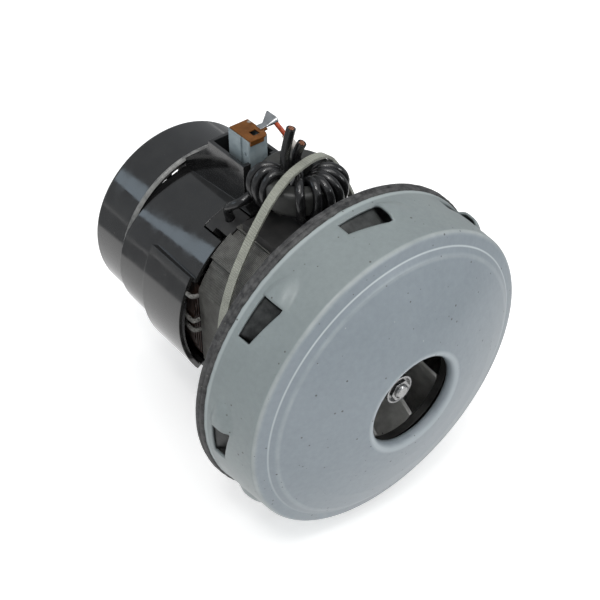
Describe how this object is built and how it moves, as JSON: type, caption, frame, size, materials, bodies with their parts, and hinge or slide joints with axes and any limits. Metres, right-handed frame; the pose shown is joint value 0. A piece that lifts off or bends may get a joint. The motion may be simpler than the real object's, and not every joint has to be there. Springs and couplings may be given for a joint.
{
  "type": "vacuum suction motor",
  "caption": "Vacuum cleaner suction motor: a brushed commutator motor drives a centrifugal fan in a vented grey steel shroud, with a rubber rim and black plastic motor housing.",
  "frame": {"origin": "on the shaft axis, in the plane of the rubber rim that the motor is clamped by", "axes": "+X along the shaft towards the air inlet, +Z towards the upper brush"},
  "size_m": [0.1583, 0.14, 0.1534],
  "materials": {
    "shroud_paint": "satin blue-grey paint on pressed steel",
    "rim_rubber": "matt black rubber",
    "base_steel": "zinc plated pressed steel",
    "black_plastic": "satin black moulding",
    "gloss_black_plastic": "glossy black moulding",
    "bearing_steel": "ground bearing steel",
    "lamination_steel": "stacked electrical steel sheets",
    "coil_wire": "enamelled copper wire",
    "zinc_steel": "zinc plated steel",
    "ferrite": "sintered ferrite, dark grey",
    "lead_jacket": "black cable jacket",
    "tie_nylon": "natural nylon gone pale green-grey",
    "shaft_steel": "turned steel",
    "insulation": "brown moulded insulation",
    "bar_copper": "turned copper",
    "fan_aluminium": "rolled aluminium sheet",
    "holder_plastic": "pale blue-grey moulding",
    "clip_brass": "aged brass sheet",
    "tinned_steel": "tinned terminal",
    "red_jacket": "orange-red wire jacket",
    "carbon": "pressed carbon"
  },
  "bodies": {
    "motor_frame": {"fan_shroud": "shroud_paint", "rim_gasket": "rim_rubber", "fan_base": "base_steel", "front_bracket": "black_plastic", "front_bearing": "bearing_steel", "rear_bearing": "bearing_steel", "stator_core": "lamination_steel", "left_field_coil": "coil_wire", "right_field_coil": "coil_wire", "stator_screws": "zinc_steel", "rear_housing": "gloss_black_plastic", "left_lead_guide": "black_plastic", "right_lead_guide": "black_plastic", "cooling_cover": "gloss_black_plastic", "suppression_ring": "ferrite", "left_lead": "lead_jacket", "left_lead_coil": "lead_jacket", "left_lead_end": "lead_jacket", "right_lead": "lead_jacket", "right_lead_coil": "lead_jacket", "right_lead_end": "lead_jacket", "cable_tie": "tie_nylon", "upper_brush_holder": "holder_plastic", "upper_brush_clip": "clip_brass", "upper_brush_spring": "zinc_steel", "upper_brush_terminal": "tinned_steel", "upper_brush_lead": "red_jacket", "lower_brush_holder": "holder_plastic", "lower_brush_clip": "clip_brass", "lower_brush_spring": "zinc_steel", "lower_brush_terminal": "tinned_steel", "lower_brush_lead": "red_jacket"},
    "rotor": {"shaft": "shaft_steel", "front_inner_race": "bearing_steel", "rear_inner_race": "bearing_steel", "armature_core": "lamination_steel", "armature_windings": "coil_wire", "winding_sleeve": "insulation", "commutator": "bar_copper", "commutator_hub": "insulation", "cooling_fan": "black_plastic", "fan_spacer": "shaft_steel", "fan_back_disc": "fan_aluminium", "fan_blades": "fan_aluminium", "fan_front_disc": "fan_aluminium", "fan_hub": "shaft_steel", "fan_washer": "zinc_steel", "fan_nut": "zinc_steel"},
    "upper_brush": {"upper_carbon_brush": "carbon"},
    "lower_brush": {"lower_carbon_brush": "carbon"}
  },
  "joints": [
    {"name": "rotor_spin", "type": "hinge", "parent": "motor_frame", "child": "rotor", "pos_m": [0, 0, 0], "axis": [1, 0, 0], "continuous": true},
    {"name": "upper_brush_slide", "type": "slide", "parent": "motor_frame", "child": "upper_brush", "axis": [0, 0, 1], "range_m": [0, 0.006], "stiffness_N_per_m": 200, "springref_m": -0.015, "deforming": ["upper_brush_spring"]},
    {"name": "lower_brush_slide", "type": "slide", "parent": "motor_frame", "child": "lower_brush", "axis": [0, 0, -1], "range_m": [0, 0.006], "stiffness_N_per_m": 200, "springref_m": -0.015, "deforming": ["lower_brush_spring"]}
  ]
}
